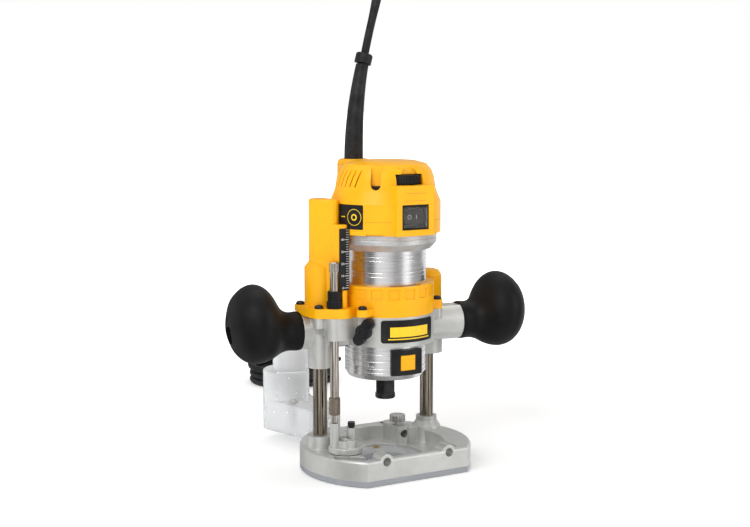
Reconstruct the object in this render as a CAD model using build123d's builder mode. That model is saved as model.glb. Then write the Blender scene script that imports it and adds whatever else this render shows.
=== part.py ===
from build123d import *
import math
import os

# Compact plunge router. Millimetres. The origin is on the spindle axis at the underside of the
# sub-base, +Z up along the spindle, -Y towards the operator's side with the rocker switch.

os.makedirs("parts", exist_ok=True)

BOTTOM = (Align.CENTER, Align.CENTER, Align.MIN)

# ---- driving dimensions ----
travel = 55.0                      # plunge stroke
base_r = 73.8                      # round part of the D-shaped base
base_front = -55.3                 # front flat
base_back = 62.6                   # rear flat
sub_t = 5.25                       # clear sub-base thickness
base_top = 21.9                    # top of the casting's rim
opening_r = 19.0                   # cutter opening in the sub-base
rod_hole_x = 30.3                  # guide-rod holes, either side of the centre
rod_hole_z = 19.6
rod_hole_r = 3.7

column_r = 6.0
left_col = (-58.8, 8.4)
right_col = (57.1, 24.1)
boss_top = 32.6
boss_low = 90.8                    # underside of the carriage bosses with the router raised
ring_low = 110.6
split_z = 135.5                    # joint between the casting and the yellow cover
flange_top = 143.5
clamp_top = 161.0

can_r = 34.5                       # motor can
bore_r = can_r + 0.3               # carriage bore
can_low = 81.0
can_top = 204.0
cap_r = 46.8
cap_top = 264.0
guard_r = 47.6                     # nothing of the carriage stands inside this beside the cap

handle_z = 121.2
handle_y = 10.2
handle_turn = -7.7                 # the handle line is turned a little about the spindle
ferrule_end = 73.5

rod_x, rod_y = -56.5, -13.0        # depth rod
rod_r = 3.7
turret_x, turret_y = -48.5, -17.5
post_ring = 9.2                    # the turret's posts stand on this radius
post_tops = (46.6, 40.8, 34.0)

cord_r = 3.5
boss_y = 55.0                      # cord boss at the back of the cap
dial_y, dial_r = -29.4, 13.4       # speed dial
coil_x, coil_y = 86.0, 351.0


def save(builder, name):
    builder.part.label = name
    export_step(builder.part, f"parts/{name}.step")


def post(x, y, r, low, high, mode=Mode.ADD):
    """An upright cylinder between two heights."""
    with Locations((x, y, low)):
        Cylinder(r, high - low, align=BOTTOM, mode=mode)


def block(x, y, low, size, turn=0, mode=Mode.ADD):
    """An upright block on its footprint's centre, turned about Z."""
    with Locations(Location((x, y, low), (0, 0, turn))):
        Box(*size, align=BOTTOM, mode=mode)


def rod(start, end, r, mode=Mode.ADD):
    """A cylinder from one point to another."""
    axis = Vector(*end) - Vector(*start)
    with Locations(Plane(origin=start, z_dir=axis).location):
        Cylinder(r, axis.length, align=BOTTOM, mode=mode)


def wrapped(circles, low, high, mode=Mode.ADD):
    """A plate whose outline is wrapped round a few circles."""
    with BuildSketch(Plane.XY.offset(low)) as outline:
        for x, y, r in circles:
            with Locations((x, y)):
                Circle(r)
        make_hull()
    extrude(outline.sketch, amount=high - low, mode=mode)


def turned(points, x=0, y=0, mode=Mode.ADD):
    """A solid of revolution about an upright axis from (radius, height) points."""
    with BuildSketch(Plane(origin=(x, y, 0), x_dir=(1, 0, 0), z_dir=(0, -1, 0))) as profile:
        with BuildLine():
            Polyline(*points, close=True)
        make_face()
    revolve(profile.sketch, axis=Axis((x, y, 0), (0, 0, 1)), mode=mode)


def polar(r, degrees):
    return (r * math.cos(math.radians(degrees)), r * math.sin(math.radians(degrees)))


def sector(inner, outer, low, high, middle, half, mode=Mode.ADD):
    """A piece of a ring about the spindle, half degrees either side of middle."""
    reach = outer * 1.6
    with BuildSketch(Plane.XY.offset(low)) as outline:
        Circle(outer)
        if inner > 0:
            Circle(inner, mode=Mode.SUBTRACT)
        with BuildLine():
            Polyline((0, 0), polar(reach, middle - half), polar(reach, middle + half), close=True)
        make_face(mode=Mode.INTERSECT)
    extrude(outline.sketch, amount=high - low, mode=mode)


def d_plate(low, high, shrink=0.0, mode=Mode.ADD):
    """The base's outline, a circle cut by two flats, drawn in by shrink."""
    depth = base_back - base_front - 2 * shrink
    with BuildSketch(Plane.XY.offset(low)) as outline:
        Circle(base_r - shrink)
        with Locations((0, (base_front + base_back) / 2)):
            Rectangle(4 * base_r, depth, mode=Mode.INTERSECT)
    extrude(outline.sketch, amount=high - low, mode=mode)


def knurl(x, y, r, low, high, count, groove):
    """Upright grooves round a knob."""
    with Locations((x, y, low)):
        with PolarLocations(r, count):
            Cylinder(groove, high - low, align=BOTTOM, mode=Mode.SUBTRACT)


# ---- base ----
sub_screws = [polar(62.0, a) for a in (205, 335, 60, 118)]

with BuildPart() as sub_base:
    d_plate(0, sub_t)
    chamfer(sub_base.faces().sort_by(Axis.Z)[0].edges(), 0.8)
    post(0, 0, opening_r, 0, sub_t, Mode.SUBTRACT)
    for x, y in sub_screws:
        turned([(0, 0), (4.4, 0), (2.3, 2.1), (2.3, sub_t), (0, sub_t)], x, y, Mode.SUBTRACT)
save(sub_base, "sub_base")

with BuildPart() as sub_base_screws:
    for x, y in sub_screws:
        turned([(0, 0.4), (4.0, 0.4), (2.2, 2.2), (2.2, 13.0), (0, 13.0)], x, y)
        block(x, y, 0.2, (5.0, 0.9, 0.9), mode=Mode.SUBTRACT)
save(sub_base_screws, "sub_base_screws")

with BuildPart() as base_casting:
    d_plate(sub_t, base_top)
    fillet(base_casting.faces().sort_by(Axis.Z)[-1].edges(), 2.4)
    with BuildSketch(Plane.XY.offset(10.5)) as well:
        Circle(51.0)
        with Locations((0, -24)):
            Rectangle(86, 50)
        with Locations((0, 0)):
            Rectangle(2 * base_r, 2 * abs(base_front) - 12, mode=Mode.INTERSECT)
    extrude(well.sketch, amount=20, mode=Mode.SUBTRACT)
    wrapped([(-61, -30, 5), (-47, -44, 5)], 14.0, 30.0, Mode.SUBTRACT)
    for side in (-1, 1):
        rod((side * rod_hole_x, base_front + 0.5, rod_hole_z),
            (side * rod_hole_x, base_front + 14, rod_hole_z), 6.4)
        wrapped([(side * rod_hole_x, 24, 6.8), (side * rod_hole_x, 42, 6.8)], 9.0, 26.0)
    post(*left_col, 11.0, 9.0, boss_top)
    post(*right_col, 9.3, 9.0, boss_top)
    turned([(0, 9), (13.5, 9), (12.5, 24), (9.3, 28.5), (0, 28.5)], *right_col)
    wrapped([(*right_col, 6), (33, 30, 8)], 9.0, 24.0)
    post(turret_x, turret_y, 15.0, 9.0, base_top)
    post(0, 0, 32.0, 0, 40, Mode.SUBTRACT)
    block(-24, 55, 13.0, (18, 20, 6.6), mode=Mode.SUBTRACT)
    for side in (-1, 1):
        rod((side * rod_hole_x, base_front - 5, rod_hole_z),
            (side * rod_hole_x, 60, rod_hole_z), rod_hole_r, Mode.SUBTRACT)
    post(rod_hole_x, 30, 2.6, rod_hole_z, 30, Mode.SUBTRACT)
    for centre in (left_col, right_col):
        post(*centre, column_r, 8.0, 40, Mode.SUBTRACT)
    post(turret_x, turret_y, 2.5, 11.0, 30, Mode.SUBTRACT)
    for x, y in sub_screws:
        post(x, y, 2.2, sub_t, 13.0, Mode.SUBTRACT)
save(base_casting, "base_casting")

# ---- columns ----
left_top = 141.0
right_top = 105.0
for name, centre, top in (("left_column", left_col, left_top), ("right_column", right_col, right_top)):
    with BuildPart() as column:
        post(*centre, column_r, 8.0, top)
        post(*centre, 4.4, 11.0, top, Mode.SUBTRACT)
        chamfer(column.edges().group_by(Axis.Z)[-1], 0.6)
    save(column, name)

with BuildPart() as bush_insert:
    turned([(opening_r + 0.8, sub_t), (31.8, sub_t), (31.8, 8.2), (24.0, 8.2), (opening_r + 0.8, 7.0)])
    for angle in (75, 255):
        post(*polar(27.5, angle), 2.5, 0, 20, Mode.SUBTRACT)
save(bush_insert, "bush_insert")

with BuildPart() as insert_nuts:
    for angle in (75, 255):
        post(*polar(27.5, angle), 2.5, sub_t + 0.1, 9.2)
        post(*polar(27.5, angle), 1.3, 0, 20, Mode.SUBTRACT)
save(insert_nuts, "insert_nuts")

# ---- rod clamp screw ----
with BuildPart() as rod_clamp_screw:
    post(rod_hole_x, 30, 2.5, rod_hole_z + rod_hole_r + 0.3, 29.0)
    post(rod_hole_x, 30, 7.0, 29.0, 35.0)
    fillet(rod_clamp_screw.edges().group_by(Axis.Z)[-1], 0.8)
    knurl(rod_hole_x, 30, 7.3, 28.0, 36.0, 20, 0.7)
save(rod_clamp_screw, "rod_clamp_screw")

# ---- dust adaptor ----
dust_x, dust_y = -34.0, 123.0
pipe_x, pipe_y = -30.5, 120.5
pipe_r = 16.4
pipe_wall = 1.8
dust_screw_at = (-39.2, 97.6)
low_body = [(dust_x, dust_y, 21.3), (-14, 71, 7.5), (-34, 71, 7.5)]
low_space = [(x, y, r - 2.2) for x, y, r in low_body]
with BuildPart() as dust_adaptor:
    wrapped(low_body, 12.0, 40.0)
    post(dust_x, dust_y, 21.3, 40.0, 67.0)
    fillet(dust_adaptor.faces().sort_by(Axis.Z)[-1].edges(), 2.0)
    post(pipe_x, pipe_y, pipe_r, 60.0, 98.0)
    wrapped([(-24, 66, 8), (-24, 64, 12)], 12.0, 20.0)
    block(0, 47.6, 11, (120, 30, 40), mode=Mode.SUBTRACT)
    wrapped(low_space, 14.2, 37.8, Mode.SUBTRACT)
    post(dust_x, dust_y, 19.1, 14.2, 64.8, Mode.SUBTRACT)
    post(pipe_x, pipe_y, pipe_r - pipe_wall, 60.0, 98.0, Mode.SUBTRACT)
    block(-24, 65, 14.2, (22, 14, 16), mode=Mode.SUBTRACT)
    post(*dust_screw_at, 4.4, 12.0, 40.0)
    post(*dust_screw_at, 1.8, 18.0, 40.0, Mode.SUBTRACT)
save(dust_adaptor, "dust_adaptor")

with BuildPart() as dust_screw:
    turned([(0, 18.2), (1.8, 18.2), (1.8, 40.0), (3.8, 40.0), (3.8, 41.6), (2.4, 42.8), (0, 42.8)],
           *dust_screw_at)
    block(*dust_screw_at, 41.6, (1.0, 5.0, 2.0), mode=Mode.SUBTRACT)
save(dust_screw, "dust_screw")

# ---- turret ----
post_places = [(turret_x + x, turret_y + y) for x, y in (polar(post_ring, a) for a in (150.6, 30.6, 270.6))]
with BuildPart() as turret:
    turned([(0, 22.3), (13.6, 22.3), (14.4, 23.0), (14.4, 27.0), (13.6, 27.6), (0, 27.6)], turret_x, turret_y)
    knurl(turret_x, turret_y, 14.7, 22.0, 28.0, 40, 0.7)
    for (x, y), top in zip(post_places, post_tops):
        post(x, y, 4.0, 27.0, top)
    post(turret_x, turret_y, 6.5, 27.0, 32.0)
    post(turret_x, turret_y, 2.6, 20, 40, Mode.SUBTRACT)
save(turret, "turret")

with BuildPart() as turret_pivot:
    post(turret_x, turret_y, 2.5, 11.2, 32.2)
    turned([(0, 32.2), (4.6, 32.2), (4.6, 33.4), (3.4, 34.6), (0, 34.6)], turret_x, turret_y)
    block(turret_x, turret_y, 33.6, (1.1, 8.0, 2.0), 25, Mode.SUBTRACT)
save(turret_pivot, "turret_pivot")

stop_x, stop_y = post_places[1]
with BuildPart() as turret_screw:
    post(stop_x, stop_y, 2.3, 40.8, 44.6)
    post(stop_x, stop_y, 3.1, 42.0, 45.8)
    block(stop_x, stop_y, 45.0, (0.9, 7.0, 2.0), 40, Mode.SUBTRACT)
save(turret_screw, "turret_screw")

# ---- carriage ----
handle_dir = Vector(math.cos(math.radians(handle_turn)), math.sin(math.radians(handle_turn)), 0)
handle_mid = Vector(0, handle_y, handle_z)
rod_boss_r = 8.2


def along_handle(t, up=0.0):
    return tuple(handle_mid + handle_dir * t + Vector(0, 0, up))


lever_dir = Vector(-0.797, -0.604, 0)
lever_z = 124.3
lever_seat = 43.6


def along_lever(reach):
    return tuple(lever_dir * reach + Vector(0, 0, lever_z))


cover_screw_places = ((-70.5, 21.0, 129.0), (-68.0, -7.5, 129.0), (-39.5, -30.5, 137.8), (44.5, -12.0, 129.0))

with BuildPart() as carriage_casting:
    post(0, 0, 41.5, ring_low, split_z)
    rod(along_handle(-ferrule_end), along_handle(ferrule_end), 16.1)
    post(*left_col, 10.0, boss_low, split_z)
    post(*right_col, 14.0, boss_low, split_z)
    wrapped([(*left_col, 8), (-30, 6, 18)], ring_low, split_z)
    wrapped([(*right_col, 10), (30, 16, 14)], ring_low, split_z)
    wrapped([(rod_x, rod_y, rod_boss_r), (-33, -8, 10)], 117.0, split_z)
    wrapped([(*left_col, 9), (rod_x, rod_y, rod_boss_r)], 121.0, split_z)
    wrapped([(-68, -7.5, 4.6), (-60, 2, 8)], 127.0, split_z)
    wrapped([(44.5, -12, 4.4), (36, -6, 8)], 127.0, split_z)
    rod(along_lever(36), along_lever(lever_seat), 7.0)
    block(0, 0, split_z, (300, 200, 10), mode=Mode.SUBTRACT)
    post(0, 0, bore_r, 80, 200, Mode.SUBTRACT)
    sector(30, 38.9, 80, 200, -90, 24.5, Mode.SUBTRACT)
    post(*left_col, 8.0, 80, 200, Mode.SUBTRACT)
    post(*right_col, 8.0, 80, 108.5, Mode.SUBTRACT)
    post(*right_col, 7.0, 108, 200, Mode.SUBTRACT)
    post(rod_x, rod_y, 5.3, 110, 126.0, Mode.SUBTRACT)
    post(rod_x, rod_y, rod_r + 0.1, 110, 200, Mode.SUBTRACT)
    rod(along_lever(36), along_lever(50), 2.6, Mode.SUBTRACT)
    for side in (-1, 1):
        rod(along_handle(side * 66), along_handle(side * 90), 4.0, Mode.SUBTRACT)
    for x, y, foot in cover_screw_places:
        post(x, y, 1.8, foot, 150, Mode.SUBTRACT)
save(carriage_casting, "carriage_casting")

with BuildPart() as column_bushes:
    for centre, low, high in (
        (left_col, boss_low + 0.5, 103.0),
        (left_col, 122.0, split_z),
        (right_col, boss_low + 0.5, 106.5),
    ):
        turned([(column_r + 0.08, low), (8.0, low), (8.0, high), (column_r + 0.08, high)], *centre)
save(column_bushes, "column_bushes")

# ---- handles ----
handle_shape = ((ferrule_end, 16.1, 0), (82, 16.2, 0), (90, 18.6, 1.2), (97, 25.4, 4.6), (104, 31.0, 7.2),
                (112, 33.2, 8.1), (120, 31.4, 8.1), (127, 26.0, 8.1), (132, 17.6, 8.1), (134.6, 8.0, 8.1))
for name, side in (("left_handle", -1), ("right_handle", 1)):
    rings = []
    for t, r, up in handle_shape:
        across = Plane(origin=along_handle(side * t, up), x_dir=(0, 0, 1), z_dir=handle_dir * side)
        with BuildSketch(across) as ring:
            Circle(r)
        rings.append(ring.sketch)
    with BuildPart() as handle:
        loft(rings)
        rod(along_handle(side * 122), along_handle(side * 140), 7.6, Mode.SUBTRACT)
        rod(along_handle(side * 70), along_handle(side * 130), 4.0, Mode.SUBTRACT)
    save(handle, name)

with BuildPart() as handle_bolts:
    for side in (-1, 1):
        rod(along_handle(side * 66), along_handle(side * 123), 4.0)
        rod(along_handle(side * 122), along_handle(side * 127), 6.6)
        rod(along_handle(side * 124), along_handle(side * 128), 2.5, Mode.SUBTRACT)
save(handle_bolts, "handle_bolts")

# ---- yellow carriage cover ----
tower_top = 233.0
scale_top = 212.5
with BuildPart() as carriage_cover:
    wrapped([(*left_col, 14), (-70.5, 21, 5), (-68, -7.5, 5), (-50, -14, 9), (-30, 8, 18)], split_z, flange_top)
    wrapped([(-39.5, -30.5, 5), (-30, -22, 8)], 137.6, flange_top)
    wrapped([(44.5, -12, 4.6), (34, -6, 8)], split_z, flange_top)
    wrapped([(*right_col, 13), (32, 14, 14)], split_z, 158.0)
    post(0, 0, 41.2, split_z, clamp_top)
    turned([(0, 150), (12.8, 150), (12.8, 160), (10.5, 164), (7, 165.2), (0, 165.2)], *right_col)
    post(*left_col, 12.8, split_z, 176.0)
    turned([(0, 176), (12.8, 176), (8.9, 181.0), (0, 181.0)], *left_col)
    wrapped([(*left_col, 8.9), (-52.8, -3.0, 5.4)], flange_top - 1, tower_top)
    fillet(carriage_cover.faces().sort_by(Axis.Z)[-1].edges(), 2.2)
    wrapped([(-50.2, -12.95, 3.4), (-48.0, -12.95, 3.4), (-52, -3, 4)], flange_top - 1, scale_top)
    block(0, 48, 138, (17, 16, 20))
    post(0, 0, bore_r, 100, 190, Mode.SUBTRACT)
    turned([(0, clamp_top), (bore_r, clamp_top), (guard_r, 168), (guard_r, 300), (0, 300)],
           mode=Mode.SUBTRACT)
    sector(30, 38.9, 100, 200, -90, 24.5, Mode.SUBTRACT)
    rod(along_handle(0.2 - ferrule_end), along_handle(-90), 17.2, Mode.SUBTRACT)
    block(0, 48, 130, (1.6, 40, 60), mode=Mode.SUBTRACT)
    post(rod_x, rod_y, rod_r + 0.6, 100, 300, Mode.SUBTRACT)
    wrapped([(rod_x, rod_y, 6.9), (rod_x - 12, rod_y - 10, 10)], flange_top, 160, Mode.SUBTRACT)
    wrapped([(rod_x, rod_y, 4.3), (rod_x - 12, rod_y - 8, 4.3)], 159, 300, Mode.SUBTRACT)
    post(*left_col, 6.8, 120, 200, Mode.SUBTRACT)
    post(*left_col, 5.2, 120, tower_top - 2.5, Mode.SUBTRACT)
    post(*left_col, 3.6, 200, 300, Mode.SUBTRACT)
    post(*right_col, 7.0, 120, 162.4, Mode.SUBTRACT)
    for angle in range(-150, -29, 20):
        sector(40.4, 42, 150.5, 158.5, angle, 6.5, Mode.SUBTRACT)
    rod((-12, 48, 149), (12, 48, 149), 3.1, Mode.SUBTRACT)
    for x, y, foot in cover_screw_places:
        post(x, y, 1.8, foot, flange_top + 1, Mode.SUBTRACT)
save(carriage_cover, "carriage_cover")

with BuildPart() as cover_screws:
    for x, y, foot in cover_screw_places:
        post(x, y, 1.8, foot + 0.2, flange_top)
        turned([(0, flange_top), (3.7, flange_top), (3.7, flange_top + 1.6), (2.4, flange_top + 2.8),
                (0, flange_top + 2.8)], x, y)
        post(x, y, 1.3, flange_top + 1.4, flange_top + 4, Mode.SUBTRACT)
save(cover_screws, "cover_screws")

# ---- trim on the carriage ----
with BuildPart() as nameplate:
    sector(41.5, 42.6, 115.0, 133.0, -90, 35.5)
save(nameplate, "nameplate")

strip_x, strip_y, strip_w = -49.0, -16.7, 9.2
with BuildPart() as scale_strip:
    block(strip_x, strip_y, 158.4, (strip_w, 0.7, 51.1))
save(scale_strip, "scale_strip")

# ---- plunge springs and the pins that centre them ----
spring_mid = 3.4
spring_wire = 0.55
for name, centre, low, high, turns in (
    ("left_spring", left_col, 11.4, 229.0, 30),
    ("right_spring", right_col, 11.4, 161.0, 22),
):
    with BuildPart() as spring:
        pitch = (high - low - 2) / turns
        with BuildLine() as wire:
            Helix(pitch, high - low - 2, spring_mid, center=(*centre, low + 0.8))
        with BuildSketch(Plane(origin=wire.line @ 0, z_dir=wire.line % 0)) as section:
            Circle(spring_wire)
        sweep(section.sketch, path=wire.line)
    save(spring, name)

with BuildPart() as spring_pins:
    for centre, foot, top in ((left_col, 205.0, 230.3), (right_col, 140.0, 162.2)):
        post(*centre, 2.4, foot, top)
        post(*centre, 4.8, top - 1.2, top)
save(spring_pins, "spring_pins")

# ---- plunge lock ----
lever_plane = Plane(origin=along_lever(lever_seat + 0.4), x_dir=(0.604, -0.797, 0), z_dir=tuple(lever_dir))
with BuildPart() as lock_lever:
    with BuildSketch(lever_plane) as wing:
        with Locations(Location((0, 0, 0), (0, 0, -31))):
            SlotOverall(25, 9.4, rotation=90)
        Circle(6.6)
    extrude(wing.sketch, amount=6.4)
    outward = Axis(origin=(0, 0, 0), direction=tuple(lever_dir))
    chamfer(lock_lever.faces().sort_by(outward)[-1].edges(), 0.8)
    with BuildSketch(lever_plane) as bore:
        Circle(2.5)
    extrude(bore.sketch, amount=10, mode=Mode.SUBTRACT)
save(lock_lever, "lock_lever")

with BuildPart() as lock_bolt:
    rod(along_lever(40.0), along_lever(50.4), 2.5)
    rod(along_lever(50.4), along_lever(51.8), 3.6)
save(lock_bolt, "lock_bolt")

# ---- motor clamp ----
with BuildPart() as clamp_lever:
    rod((-11.5, 48, 149), (12.6, 48, 149), 3.0)
    rod((9.0, 48, 149), (15.4, 48, 149), 7.0)
    with BuildSketch(Plane.YZ.offset(9.0)) as arm:
        with BuildLine():
            Polyline((42.5, 149), (53.5, 149), (57.0, 184), (53.0, 187.5), (49.0, 185), close=True)
        make_face()
    extrude(arm.sketch, amount=6.4)
    rod((-12.4, 48, 149), (-9.0, 48, 149), 5.4)
save(clamp_lever, "clamp_lever")

# ---- depth stop ----
with BuildPart() as depth_rod:
    post(rod_x, rod_y, 2.5, 46.9, 54.0)
    chamfer(depth_rod.edges().group_by(Axis.Z)[0], 0.6)
    post(rod_x, rod_y, 2.9, 53.4, 70.0)
    post(rod_x, rod_y, rod_r, 69.0, 173.0)
    post(rod_x, rod_y, 4.0, 173.0, 182.0)
    chamfer(depth_rod.edges().group_by(Axis.Z)[-1], 0.8)
    knurl(rod_x, rod_y, 4.2, 174.0, 181.0, 18, 0.5)
save(depth_rod, "depth_rod")

with BuildPart() as fine_nut:
    turned([(3.0, 53.8), (4.0, 53.8), (4.7, 55.0), (4.7, 67.8), (4.2, 68.6), (3.0, 68.6)], rod_x, rod_y)
    knurl(rod_x, rod_y, 4.9, 55.0, 67.6, 24, 0.4)
save(fine_nut, "fine_nut")

with BuildPart() as rod_clamp_nut:
    post(rod_x, rod_y, 6.4, flange_top + 0.3, 149.5)
    post(rod_x, rod_y, 5.6, 149.0, 158.0)
    knurl(rod_x, rod_y, 6.7, 143.0, 149.0, 16, 0.7)
    post(rod_x, rod_y, rod_r + 0.1, 140, 160, Mode.SUBTRACT)
save(rod_clamp_nut, "rod_clamp_nut")

# ---- motor ----
with BuildPart() as motor_can:
    turned([(31.4, can_low), (can_r - 0.6, 84.6), (can_r, 85.2), (can_r, can_top - 0.2),
            (32.2, can_top - 0.2), (32.2, 93.0), (29.0, 93.0), (29.0, can_low)])
    for z in (88.0, 91.4, 97.5, 103.5, 107.0, 169.0, 172.2, 182.2, 185.4):
        line = [(can_r - 0.5, z - 0.6), (can_r + 1, z - 0.9), (can_r + 1, z + 0.9), (can_r - 0.5, z + 0.6)]
        turned(line, mode=Mode.SUBTRACT)
    for angle in range(0, 360, 20):
        if abs(angle - 270) > 35:
            sector(can_r - 0.7, 36, 92.6, 96.4, angle, 5.5, Mode.SUBTRACT)
    sector(33.4, 40, 85.9, 107.1, -90, 23.2, Mode.SUBTRACT)
    block(0, -34, 89.6, (14.6, 12, 13.8), mode=Mode.SUBTRACT)
save(motor_can, "motor_can")

with BuildPart() as can_collar:
    turned([(can_r, 190.0), (38.5, 190.0), (42.6, 194.6), (43.5, 195.6), (43.5, 203.7), (can_r, 203.7)])
    turned([(42.9, 199.0), (44, 198.6), (44, 200.2), (42.9, 199.8)], mode=Mode.SUBTRACT)
save(can_collar, "can_collar")

with BuildPart() as bearing_plate:
    turned([(15.2, 83.0), (28.9, 83.0), (28.9, 92.6), (14.1, 92.6), (14.1, 84.5), (15.2, 84.5)])
    for angle in range(0, 360, 60):
        if angle != 300 and angle != 240:
            post(*polar(22, angle), 3.2, 82, 90, Mode.SUBTRACT)
    sector(20, 40, 89.0, 104.0, -90, 14.0, Mode.SUBTRACT)
save(bearing_plate, "bearing_plate")

for name, outer, inner, low, high in (
    ("lower_bearing", 14.0, 6.1, 84.6, 92.6),
    ("upper_bearing", 11.0, 4.1, 242.4, 249.4),
):
    with BuildPart() as bearing:
        middle = (outer + inner) / 2
        turned([(inner, low), (outer, low), (outer, high), (inner, high)])
        for z in (low, high - 0.6):
            race = [(middle - 1.6, z), (middle + 1.6, z), (middle + 1.6, z + 0.6), (middle - 1.6, z + 0.6)]
            turned(race, mode=Mode.SUBTRACT)
    save(bearing, name)

with BuildPart() as field_core:
    turned([(21.0, 128.0), (32.1, 128.0), (32.1, 172.0), (21.0, 172.0)])
    for angle in (0, 180):
        sector(20, 27.5, 120, 180, angle, 26, Mode.SUBTRACT)
save(field_core, "field_core")

with BuildPart() as field_coils:
    for angle in (0, 180):
        sector(22.6, 27.3, 120.0, 180.0, angle, 24)
    for low in (118.0, 172.2):
        turned([(22.6, low), (29.5, low), (30.5, low + 4), (29.5, low + 9.6), (22.6, low + 9.6)])
save(field_coils, "field_coils")

spindle_r = 6.0
with BuildPart() as spindle:
    turned([(5.0, 66.5), (spindle_r, 66.5), (spindle_r, 101.6), (7.0, 101.6), (7.0, 104), (5.0, 106),
            (5.0, 222), (4.0, 226), (4.0, 249.2), (0, 249.2), (0, 92.0), (5.0, 92.0)])
    for side in (-1, 1):
        block(0, side * 7.5, 93.8, (20, 6, 7.4), mode=Mode.SUBTRACT)
save(spindle, "spindle")

with BuildPart() as armature:
    post(0, 0, 20.2, 128.0, 172.0)
    turned([(0, 120), (13, 120), (17.5, 124), (17.5, 176), (13, 182), (0, 182)])
    with PolarLocations(19.6, 12):
        with Locations((0, 0, 128)):
            Box(4.4, 1.6, 44, align=BOTTOM, mode=Mode.SUBTRACT)
    post(0, 0, 5.0, 100, 200, Mode.SUBTRACT)
save(armature, "armature")

with BuildPart() as commutator:
    turned([(4.0, 226.2), (12.0, 226.2), (12.0, 240.0), (11.0, 241.4), (4.0, 241.4)])
    turned([(12, 226.2), (13.2, 226.2), (13.2, 228.2), (12, 228.2)])
    with PolarLocations(12.1, 24):
        with Locations((0, 0, 228.4)):
            Box(1.6, 0.5, 14, align=BOTTOM, mode=Mode.SUBTRACT)
save(commutator, "commutator")

with BuildPart() as fan:
    post(0, 0, 29.5, 106.4, 108.0)
    post(0, 0, 9.0, 106.4, 116.0)
    with PolarLocations(19.5, 16):
        with Locations((0, 0, 107.5)):
            Box(19.0, 1.3, 8.0, align=BOTTOM)
    post(0, 0, 5.0, 100, 120, Mode.SUBTRACT)
save(fan, "fan")

with BuildPart() as collet:
    turned([(4.0, 60.2), (6.2, 60.2), (6.2, 62.6), (4.95, 66.2), (4.95, 84.0), (4.0, 84.0)])
    for angle in range(0, 360, 45):
        sector(3, 8, 60, 78, angle, 4.2, Mode.SUBTRACT)
save(collet, "collet")

with BuildPart() as collet_nut:
    turned([(6.3, 59.8), (7.9, 59.8), (8.6, 60.6), (8.6, 81.8), (spindle_r, 81.8), (spindle_r, 66.4),
            (6.3, 66.4)])
    with BuildSketch(Plane.XY.offset(64.0)) as flats:
        Circle(12)
        RegularPolygon(7.9, 6, major_radius=False, mode=Mode.SUBTRACT)
    extrude(flats.sketch, amount=14.0, mode=Mode.SUBTRACT)
save(collet_nut, "collet_nut")

# ---- spindle lock ----
with BuildPart() as lock_frame:
    sector(33.4, 38.2, 86.0, 107.0, -90, 23.0)
    block(0, -36, 89.8, (14.4, 12, 13.4), mode=Mode.SUBTRACT)
save(lock_frame, "lock_frame")

with BuildPart() as lock_button:
    block(0, -35.4, 90.2, (13.6, 8.0, 12.6))
    post(0, 0, 38.5, 80, 110, Mode.INTERSECT)
    block(0, -20.4, 94.6, (6.0, 24.8, 5.6))
save(lock_button, "lock_button")

# ---- motor cap ----
brush_angle = 228.4
cap_shape = [(cap_r, 203.8), (cap_r, 229.5), (45.0, 234.0), (42.6, 240.0), (40.9, 250.5),
             (38.6, 256.5), (34.5, 261.0), (26, 263.4), (0, cap_top)]
cap_space = [(43.8, 203.8), (43.8, 228.5), (42.0, 233.0), (39.8, 239.0), (38.1, 250.0),
             (35.6, 255.5), (32.0, 258.6), (0, 260.5)]
with BuildPart() as motor_cap:
    wrapped([(0, boss_y, 14.4), (0, 18, 27)], 206.0, 258.5)
    turned([(0, 203.8)] + cap_shape)
    turned([(0, 258.4), (14.4, 258.4), (13.6, 261.2), (11.8, 262.5), (0, 262.5)], 0, boss_y)
    block(0, -36, 203.8, (35.6, 26.0, 41.2))
    turned([(0, 203.8)] + cap_space, mode=Mode.SUBTRACT)
    wrapped([(0, boss_y, 11.6), (0, 18, 24.2)], 208.8, 255.6, Mode.SUBTRACT)
    block(0, -33, 206.4, (30.4, 26.8, 36.0), mode=Mode.SUBTRACT)
    block(0, -46, 208.8, (25.4, 10, 20.6), mode=Mode.SUBTRACT)
    block(0, -42, 245.0, (25.4, 16, 8.8), mode=Mode.SUBTRACT)
    rod((0, -47.5, 254), (0, -36, 251), 8.0, Mode.SUBTRACT)
    post(0, boss_y, 8.7, 250, 270, Mode.SUBTRACT)
    for angle in (brush_angle, brush_angle - 180):
        for z in (245.2, 256.5):
            x, y = polar(34, angle)
            out_x, out_y = polar(46, angle)
            rod((x, y, z), (out_x, out_y, z), 4.25, Mode.SUBTRACT)
        block(*polar(40, angle), 245.2, (12, 8.5, 11.3), angle, Mode.SUBTRACT)
    for step in range(5):
        for side in (1, -1):
            angle = 174 + 8.0 * step
            x, y = polar(41.5, angle)
            slant = Vector(-y, x, 0).normalized() * 0.34 + Vector(0, 0, 1)
            across = Vector(x, y, 0).normalized()
            if side < 0:
                slant, across, x = Vector(-slant.X, slant.Y, slant.Z), Vector(-across.X, across.Y, 0), -x
            with Locations(Plane(origin=(x, y, 250.0), x_dir=tuple(across), z_dir=tuple(slant)).location):
                Box(7.0, 1.3, 15.0, mode=Mode.SUBTRACT)
    sector(44, 49, 203, 205.0, brush_angle, 9.0, Mode.SUBTRACT)
save(motor_cap, "motor_cap")

with BuildPart() as side_label:
    sector(cap_r, cap_r + 0.4, 209.0, 228.6, 201.0, 16.0)
save(side_label, "side_label")

with BuildPart() as brush_caps:
    for angle in (brush_angle, brush_angle - 180):
        block(*polar(36.0, angle), 240.3, (5.0, 8.0, 3.6), angle)
save(brush_caps, "brush_caps")

with BuildPart() as brush_holders:
    for angle in (brush_angle, brush_angle - 180):
        block(*polar(24.6, angle), 230.4, (20.4, 10.4, 9.6), angle)
        block(*polar(24.6, angle), 232.0, (24.4, 7.4, 6.4), angle, Mode.SUBTRACT)
save(brush_holders, "brush_holders")

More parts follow.
